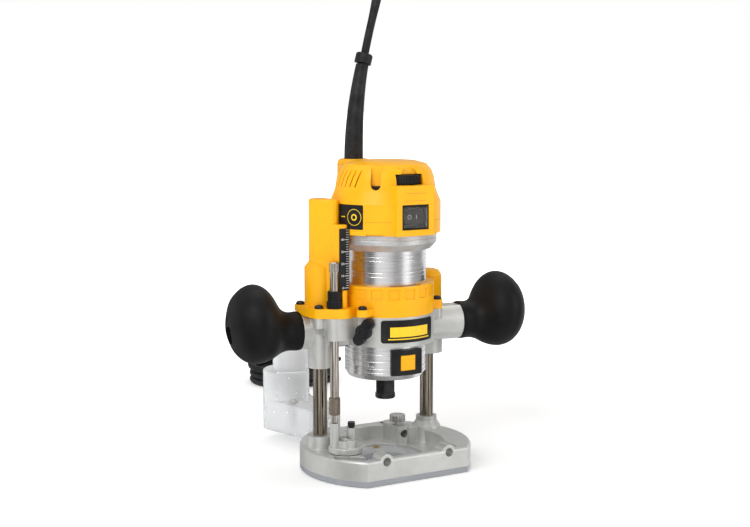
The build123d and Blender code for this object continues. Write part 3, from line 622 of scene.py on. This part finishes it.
class MODEL_OT_finishes(bpy.types.Operator):
    """Gives every part of the frame the finish that it is made in"""
    bl_idname = "router.finishes"
    bl_label = "Finish the frame"

    def execute(self, context):
        colours = context.scene.router_finishes
        rod_centre = (-0.0565, -0.013)
        FINISHES.update({
            "cast": die_cast(list(colours.casting)),
            "yellow": yellow_nylon(list(colours.yellow)),
            "grip": soft_grip(list(colours.grip)),
            "black": black_moulding(),
            "turned": turned_alloy(),
            "column": column_chrome("column steel", (0.13, 0.11, 0.085), (0.40, 0.35, 0.29)),
            "rod": column_chrome("rod steel", (0.36, 0.32, 0.27), (0.74, 0.69, 0.62)),
            "steel": zinc_steel(),
            "oxide": black_oxide(),
            "brass": plain_brass(),
            "copper": wound_copper(),
            "carbon": carbon_block(),
            "board": board_laminate(),
            "rubber": lead_rubber(),
            "clear": clear_moulding("clear moulding", (0.96, 0.97, 0.98), 0.2, 0.62, 1.14),
            "sole": clear_moulding("clear sole", (0.60, 0.62, 0.66), 0.12, 0.5, 1.3),
            "satin": satin_alloy(),
            "insert": clear_moulding("clear insert", (0.80, 0.81, 0.82), 0.1, 0.45, 1.22),
            "smoked": smoked_cover(),
            "fine_nut": knurled("knurled bronze", (0.52, 0.43, 0.34), rod_centre, 22, 3600),
            "ink_yellow": ink_and_painted_shade("yellow ink", (0.95, 0.62, 0.01)),
            "ink_white": ink_and_painted_shade("white ink", (0.72, 0.71, 0.68)),
            # The moulding lines' dark orange is painted shadow: the cap's yellow in shade.
            "seam": ink_and_painted_shade("seam shadow", (0.52, 0.24, 0.002)),
        })
        made_in = {
            "cast": ("base_casting", "carriage_casting", "bearing_plate", "turret", "dust_screw"),
            "yellow": ("carriage_cover", "motor_cap", "lock_button"),
            "grip": ("left_handle", "right_handle"),
            "black": (
                "lock_lever", "clamp_lever", "rod_clamp_nut", "lock_frame", "brush_caps", "brush_holders",
                "switch_body", "switch_rocker", "speed_dial", "bearing_bridge", "fan", "column_bushes",
                "scale_strip", "nameplate", "side_label"),
            "turned": ("motor_can",),
            "satin": ("can_collar",),
            "insert": ("bush_insert",),
            "column": ("left_column", "right_column"),
            "rod": ("depth_rod",),
            "steel": (
                "turret_pivot", "rod_clamp_screw", "sub_base_screws", "handle_bolts",
                "spring_pins", "spindle", "collet", "lower_bearing", "upper_bearing", "left_spring",
                "right_spring"),
            "oxide": ("cover_screws", "turret_screw", "collet_nut", "field_core", "armature", "lock_bolt"),
            "brass": ("insert_nuts",),
            "copper": ("commutator", "field_coils"),
            "carbon": ("carbon_brushes",),
            "board": ("circuit_board",),
            "rubber": ("cord_boot", "plug"),
            "clear": ("dust_adaptor",),
            "sole": ("sub_base",),
            "fine_nut": ("fine_nut",),
        }
        for key, names in made_in.items():
            for name in names:
                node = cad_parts[name]
                node.data.materials.clear()
                node.data.materials.append(FINISHES[key])
                for face in node.data.polygons:
                    face.material_index = 0
        return {"FINISHED"}


def coil_points(diameter, count):
    """Control points of the coil, turn by turn, and of the half turn that leads to the plug."""
    tighten = 1 / math.cos(math.pi / count)
    pitch = diameter * 1.012
    points = []
    turns = len(COIL_TRACKS)
    for i in range(turns * count + 1):
        turn, part = divmod(i, count)
        turn = min(turn, turns - 1)
        ahead = min(turn + 1, turns - 1)
        share = max(0.0, part / count - 0.6) / 0.4
        share = share * share * (3 - 2 * share)
        track = COIL_TRACKS[turn] + (COIL_TRACKS[ahead] - COIL_TRACKS[turn]) * share
        layer = COIL_LAYERS[turn] + (COIL_LAYERS[ahead] - COIL_LAYERS[turn]) * share
        angle = math.radians(COIL_START - 360.0 * i / count)
        reach = (track + 0.14) * pitch * tighten
        rise = diameter / 2 + layer * pitch
        points.append(COIL_CENTRE + Vector((reach * math.cos(angle), reach * math.sin(angle), rise)))
    return points


def tail_points(start):
    """The last half turn, which climbs off the coil into the plug's tail."""
    tail = PLUG_TAIL
    left = COIL_CENTRE.x - COIL_REACH
    middle = (left + tail.x) / 2
    radius = TURN_RADIUS
    steps = 8
    points = [Vector((left - 0.0004, COIL_CENTRE.y - 0.008, start.z))]
    for step in range(steps + 1):
        angle = math.radians(190 - 200 * step / steps)
        share = (step + 1) / (steps + 1)
        rise = start.z + (tail.z - start.z) * share * share * (3 - 2 * share)
        points.append(Vector((
            middle + radius * math.cos(angle), COIL_CENTRE.y + 0.004 + radius * math.sin(angle), rise)))
    points.append(tail + Vector((0, 0.0045, 0)))
    points.append(tail)
    return points


class MODEL_OT_lead(bpy.types.Operator):
    """Lays the mains lead from its strain relief over to the coil and the plug"""
    bl_idname = "router.lead"
    bl_label = "Mains lead"

    def execute(self, context):
        lead = context.scene.router_lead
        coil = coil_points(lead.diameter, lead.points)
        route = [Vector(point) for point in LEAD_ROUTE] + coil + tail_points(coil[-1])
        curve = bpy.data.curves.new("mains_lead", "CURVE")
        curve.dimensions = "3D"
        spline = curve.splines.new("NURBS")
        spline.points.add(len(route) - 1)
        for point, place in zip(spline.points, route):
            point.co = (*place, 1)
        spline.order_u = 3
        spline.use_endpoint_u = True
        curve.resolution_u = 8
        piece = bpy.data.objects.new("mains_lead", curve)
        context.scene.collection.objects.link(piece)
        context.view_layer.update()
        line = bpy.data.meshes.new_from_object(piece)
        bpy.data.meshes.remove(line)
        curve.bevel_depth = lead.diameter / 2
        curve.bevel_resolution = 5
        curve.use_fill_caps = True
        only(piece)
        bpy.ops.object.convert(target="MESH")
        piece = name_piece("mains_lead")
        smooth(piece, 60)
        piece.data.materials.clear()
        piece.data.materials.append(FINISHES["rubber"])
        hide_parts("cord", "cord_coil")
        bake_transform(piece)
        return {"FINISHED"}


# How bright the room looks in bright metal, from (share of the way round, level) marks.
ROOM_BANDS = (
    (0.0, 0.42), (0.03, 0.1), (0.066, 0.1), (0.1, 0.9), (0.165, 0.85), (0.207, 0.7), (0.246, 0.36),
    (0.296, 0.36), (0.321, 1.25), (0.354, 1.25), (0.39, 0.4), (0.489, 0.34), (0.564, 1.0),
    (0.665, 0.5), (0.75, 0.25), (0.87, 0.8), (0.952, 0.75), (1.0, 0.42))


class MODEL_OT_stage(bpy.types.Operator):
    """Sets the camera, the lights, the pale room and the floor"""
    bl_idname = "router.stage"
    bl_label = "Stage"

    def execute(self, context):
        stage = context.scene.router_stage
        camera = bpy.data.cameras.new("view")
        camera.lens = 66.25
        camera.sensor_width = 36
        eye = bpy.data.objects.new("view", camera)
        eye.location = (-0.5907, -1.0035, 0.3243)
        eye.rotation_euler = (math.radians(90 - 7.27), 0, math.radians(-30.05))
        context.scene.collection.objects.link(eye)
        context.scene.camera = eye
        aim = Vector((0, 0, 0.14))
        lights = (
            ("key", (-1.5, -0.9, 1.3), 1.3, stage.key),
            ("fill", (1.3, -1.3, 0.7), 0.9, stage.fill),
            ("top", (0.1, 0.3, 1.7), 1.6, stage.top),
        )
        for name, place, size, power in lights:
            lamp = bpy.data.lights.new(name, "AREA")
            lamp.shape = "RECTANGLE"
            lamp.size = size
            lamp.size_y = size * 0.7
            lamp.energy = power
            held = bpy.data.objects.new(name, lamp)
            held.location = place
            held.rotation_euler = (Vector(place) - aim).to_track_quat("Z", "Y").to_euler()
            context.scene.collection.objects.link(held)
        only(eye)
        bpy.ops.object.select_all(action="DESELECT")
        bpy.ops.mesh.primitive_plane_add(size=30, location=(0, 0, -0.0002))
        floor = name_piece("floor")
        floor.data.materials.append(pale_floor((0.93, 0.93, 0.925)))
        floor.visible_glossy = False
        room = bpy.data.worlds.new("pale room")
        context.scene.world = room
        room.use_nodes = True
        tree = room.node_tree
        backdrop = tree.nodes["Background"]
        backdrop.inputs["Strength"].default_value = stage.room
        direction = tree.nodes.new("ShaderNodeTexCoord")
        split = tree.nodes.new("ShaderNodeSeparateXYZ")
        around = tree.nodes.new("ShaderNodeMath")
        around.operation = "ARCTAN2"
        spread = tree.nodes.new("ShaderNodeMapRange")
        spread.inputs["From Min"].default_value = -math.pi
        spread.inputs["From Max"].default_value = math.pi
        bands = tree.nodes.new("ShaderNodeValToRGB")
        bands.color_ramp.interpolation = "EASE"
        bands.color_ramp.elements[0].position = ROOM_BANDS[0][0]
        bands.color_ramp.elements[1].position = ROOM_BANDS[-1][0]
        for place, _ in ROOM_BANDS[1:-1]:
            bands.color_ramp.elements.new(place)
        for element, (_, level) in zip(bands.color_ramp.elements, ROOM_BANDS):
            element.color = (level, level, level, 1)
        rays = tree.nodes.new("ShaderNodeLightPath")
        pick = tree.nodes.new("ShaderNodeMix")
        pick.data_type = "RGBA"
        pick.inputs[6].default_value = (stage.soft, stage.soft, stage.soft, 1)
        seen = tree.nodes.new("ShaderNodeMix")
        seen.data_type = "RGBA"
        seen.inputs[7].default_value = (1, 1, 1, 1)
        tree.links.new(rays.outputs["Is Camera Ray"], seen.inputs[0])
        tree.links.new(pick.outputs[2], seen.inputs[6])
        tree.links.new(direction.outputs["Generated"], split.inputs["Vector"])
        tree.links.new(split.outputs["Y"], around.inputs[0])
        tree.links.new(split.outputs["X"], around.inputs[1])
        tree.links.new(around.outputs["Value"], spread.inputs["Value"])
        tree.links.new(spread.outputs["Result"], bands.inputs["Fac"])
        tree.links.new(rays.outputs["Is Glossy Ray"], pick.inputs[0])
        tree.links.new(bands.outputs["Color"], pick.inputs[7])
        tree.links.new(seen.outputs[2], backdrop.inputs["Color"])
        context.scene.view_settings.view_transform = "Standard"
        return {"FINISHED"}


class MODEL_OT_nameplate(bpy.types.Operator):
    """Puts the plain plate with its raised bar on the front of the carriage"""
    bl_idname = "router.nameplate"
    bl_label = "Front plate"

    def execute(self, context):
        plate = curved_plate("front_plate", RING_R + 0.00002, 0.1145, 0.1335, -90, 35.5, 0.0009, 0.0022)
        round_edges(plate, 0.0003, 2, 60)
        dress(plate, FINISHES["black"], "carriage")
        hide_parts("nameplate")
        for index, (low, high, half) in enumerate(((0.1195, 0.1278, 25.0), (0.1172, 0.1182, 27.5))):
            bar = curved_plate(
                f"plate_bar_{index + 1}", RING_R + 0.0008, low, high, -90, half, 0.0004, 0.0004)
            dress(bar, FINISHES["ink_yellow"], "carriage")
        return {"FINISHED"}


class MODEL_OT_side_label(bpy.types.Operator):
    """Puts the plain ring and dot on the side label of the cap"""
    bl_idname = "router.side_label"
    bl_label = "Side label"

    def execute(self, context):
        middle = 201.0
        label = curved_plate("side_plate", CAP_R, 0.2088, 0.2290, middle, 15.6, 0.0003, 0.0008)
        dress(label, FINISHES["black"], "carriage")
        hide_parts("side_label")
        height, across = 0.2188, 0.0044
        marks = []
        for radius, thick in ((0.0066, 0.00026), (0.0022, 0.0006)):
            bpy.ops.object.select_all(action="DESELECT")
            bpy.ops.mesh.primitive_torus_add(
                major_radius=radius, minor_radius=thick, major_segments=64, minor_segments=8,
                location=(across, 0.0003, height), rotation=(math.pi / 2, 0, 0))
            mark = name_piece("ring")
            settle(mark)
            marks.append(mark)
        marks.append(box_piece(
            "bar", (-0.0095, 0.0002, height - 0.0004), (-0.0050, 0.00052, height + 0.0004)))
        ring = join("side_mark", marks)
        for vertex in ring.data.vertices:
            vertex.co.y = 0.0003 + (vertex.co.y - 0.0003) * 0.8
        wrap(ring, CAP_R, middle)
        smooth(ring)
        dress(ring, FINISHES["ink_yellow"], "carriage")
        return {"FINISHED"}


class MODEL_OT_scale(bpy.types.Operator):
    """Prints the depth scale's marks and figures"""
    bl_idname = "router.scale"
    bl_label = "Depth scale"

    def execute(self, context):
        sizes = context.scene.router_scale
        low, high = SCALE
        front = low[1]
        right = high[0] - 0.0006
        count = int((high[2] - low[2] - 0.003) / sizes.step)
        marks = []
        for i in range(count + 1):
            z = low[2] + 0.002 + i * sizes.step
            reach = 0.0042 if i % 5 == 0 else 0.0024
            thick = 0.00022 if i % 5 == 0 else 0.00014
            marks.append(box_piece(
                "mark", (right - reach, front - 0.0001, z - thick), (right, front + 0.0001, z + thick)))
        for i in range(0, count + 1, 5):
            z = low[2] + 0.002 + i * sizes.step
            bpy.ops.object.select_all(action="DESELECT")
            bpy.ops.object.text_add(location=(right - 0.0046, front, z), rotation=(math.pi / 2, 0, 0))
            figure = bpy.context.active_object
            figure.data.body = str(i // 5 * 10)
            figure.data.size = sizes.digits
            figure.data.align_x = "RIGHT"
            figure.data.align_y = "CENTER"
            figure.data.extrude = 0.0001
            only(figure)
            bpy.ops.object.convert(target="MESH")
            settle(bpy.context.active_object)
            marks.append(bpy.context.active_object)
        printed_scale = join("scale_marks", marks)
        dress(printed_scale, FINISHES["ink_white"], "carriage")
        return {"FINISHED"}


class MODEL_OT_switch(bpy.types.Operator):
    """Adds the switch's marks, its bezel and its smoked dust cover"""
    bl_idname = "router.switch"
    bl_label = "Switch trim"

    def execute(self, context):
        face_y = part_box("switch_rocker")[0][1]
        middle = (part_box("switch_rocker")[0][2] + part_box("switch_rocker")[1][2]) / 2
        bar = box_piece(
            "bar", (0.0031, face_y - 0.0001, middle - 0.0019), (0.0036, face_y + 0.0001, middle + 0.0019))
        bpy.ops.object.select_all(action="DESELECT")
        bpy.ops.mesh.primitive_torus_add(
            major_radius=0.0017, minor_radius=0.00024, major_segments=40, minor_segments=8,
            location=(-0.0036, face_y, middle), rotation=(math.pi / 2, 0, 0))
        ring = name_piece("ring")
        settle(ring)
        marks = join("switch_marks", [bar, ring])
        dress(marks, FINISHES["ink_white"], "switch_rocker")

        half, low, high = 0.0126, 0.2090, 0.2292
        bezel = box_piece("switch_bezel", (-half, PANEL_Y + 0.0006, low), (half, PANEL_Y + 0.0024, high))
        edit(bezel, lambda face: abs(face.normal.y) > 0.9)
        bpy.ops.mesh.inset(thickness=0.0019, depth=0)
        leave_edit()
        faces = [
            face for face in bezel.data.polygons
            if abs(face.normal.y) > 0.9 and abs(face.center.x) < 0.001
            and abs(face.center.z - (low + high) / 2) < 0.001]
        chosen = {face.index for face in faces}
        edit(bezel, lambda face: face.index in chosen)
        bpy.ops.mesh.bridge_edge_loops()
        leave_edit()
        round_edges(bezel, 0.0005, 3)
        dress(bezel, FINISHES["black"], "carriage")

        cover = box_piece(
            "switch_cover", (-0.0110, PANEL_Y - 0.0012, low + 0.0016), (0.0110, PANEL_Y + 0.0010, high - 0.0016))
        edit(cover, lambda face: face.normal.y < -0.9)
        bpy.ops.mesh.inset(thickness=0.0020, depth=0)
        bpy.ops.transform.translate(value=(0, 0.0007, 0))
        leave_edit()
        edit(cover, lambda face: face.normal.y > 0.9)
        bpy.ops.mesh.inset(thickness=0.0006, depth=0)
        bpy.ops.transform.translate(value=(0, -0.0009, 0))
        leave_edit()
        round_edges(cover, 0.0006, 3)
        dress(cover, FINISHES["smoked"], "carriage")
        return {"FINISHED"}


class MODEL_OT_pockets(bpy.types.Operator):
    """Closes the cap behind the brush slots and over the speed dial"""
    bl_idname = "router.pockets"
    bl_label = "Cap pockets"

    def execute(self, context):
        caps_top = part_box("brush_caps")[1][2]
        for index, angle in enumerate(BRUSH_ANGLES):
            floor = box_piece(
                f"brush_pocket_{index + 1}", (POCKET_BACK, -POCKET_HALF, caps_top + 0.00008),
                (POCKET_FACE, POCKET_HALF, POCKET_TOP))
            edit(floor, lambda face: face.normal.x > 0.9)
            bpy.ops.mesh.inset(thickness=0.0012, depth=-0.0004)
            leave_edit()
            floor.rotation_euler = (0, 0, math.radians(angle))
            settle(floor)
            round_edges(floor, 0.0003, 2)
            dress(floor, FINISHES["yellow"], "carriage")
        dial_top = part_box("speed_dial")[1][2]
        scoop = box_piece(
            "dial_scoop", (-SCOOP_HALF, -POCKET_FACE, dial_top + 0.0004), (SCOOP_HALF, -POCKET_BACK, SCOOP_TOP))
        edit(scoop, lambda face: face.normal.y < -0.9)
        bpy.ops.mesh.inset(thickness=0.0010, depth=-0.0004)
        leave_edit()
        round_edges(scoop, 0.0003, 2)
        dress(scoop, FINISHES["yellow"], "carriage")
        return {"FINISHED"}


class MODEL_OT_seams(bpy.types.Operator):
    """Adds the moulding line round the cap and the two lines over the switch, as thin strips of painted shadow
    """
    bl_idname = "router.seams"
    bl_label = "Moulding lines"

    def execute(self, context):
        for name, middle, half in (("cap_seam", 232.5, 13.5), ("cap_seam_right", 328, 30)):
            seam = curved_plate(
                name, CAP_R - 0.0001, SEAM_Z - SEAM_HALF, SEAM_Z + SEAM_HALF, middle, half, SEAM_HALF, 0.0001)
            dress(seam, FINISHES["seam"], "carriage")
        for index, low in enumerate((0.2325, 0.2385)):
            line = box_piece(
                f"panel_line_{index + 1}", (-0.0105, PANEL_Y - 0.00012, low),
                (0.0105, PANEL_Y + 0.0002, low + 0.00035))
            round_edges(line, 0.0001, 2)
            dress(line, FINISHES["seam"], "carriage")
        return {"FINISHED"}


CLASSES = (
    RouterFinishes, RouterLead, RouterScale, RouterStage,
    MODEL_OT_finishes, MODEL_OT_lead, MODEL_OT_stage, MODEL_OT_nameplate, MODEL_OT_side_label,
    MODEL_OT_scale, MODEL_OT_switch, MODEL_OT_pockets, MODEL_OT_seams,
)
ORDER = (
    "finishes", "stage", "lead", "nameplate", "side_label", "scale", "switch", "pockets", "seams",
)


class VIEW3D_PT_router(bpy.types.Panel):
    """Lists the router's pieces in the 3D view's sidebar"""
    bl_idname = "VIEW3D_PT_router"
    bl_label = "Compact Plunge Router"
    bl_space_type = "VIEW_3D"
    bl_region_type = "UI"
    bl_category = "Router"

    def draw(self, context):
        for group in ("router_finishes", "router_lead", "router_scale", "router_stage"):
            values = getattr(context.scene, group)
            for name in values.bl_rna.properties.keys():
                if name not in ("rna_type", "name"):
                    self.layout.prop(values, name)
        for name in ORDER:
            self.layout.operator("router." + name)


def register():
    for made in CLASSES:
        bpy.utils.register_class(made)
    bpy.utils.register_class(VIEW3D_PT_router)
    bpy.types.Scene.router_finishes = PointerProperty(type=RouterFinishes)
    bpy.types.Scene.router_lead = PointerProperty(type=RouterLead)
    bpy.types.Scene.router_scale = PointerProperty(type=RouterScale)
    bpy.types.Scene.router_stage = PointerProperty(type=RouterStage)


def unregister():
    del bpy.types.Scene.router_stage
    del bpy.types.Scene.router_scale
    del bpy.types.Scene.router_lead
    del bpy.types.Scene.router_finishes
    bpy.utils.unregister_class(VIEW3D_PT_router)
    for made in reversed(CLASSES):
        bpy.utils.unregister_class(made)


def main():
    register()
    for name in ORDER:
        if getattr(bpy.ops.router, name)() != {"FINISHED"}:
            raise RuntimeError(name + " didn't finish")


if __name__ == "__main__":
    main()
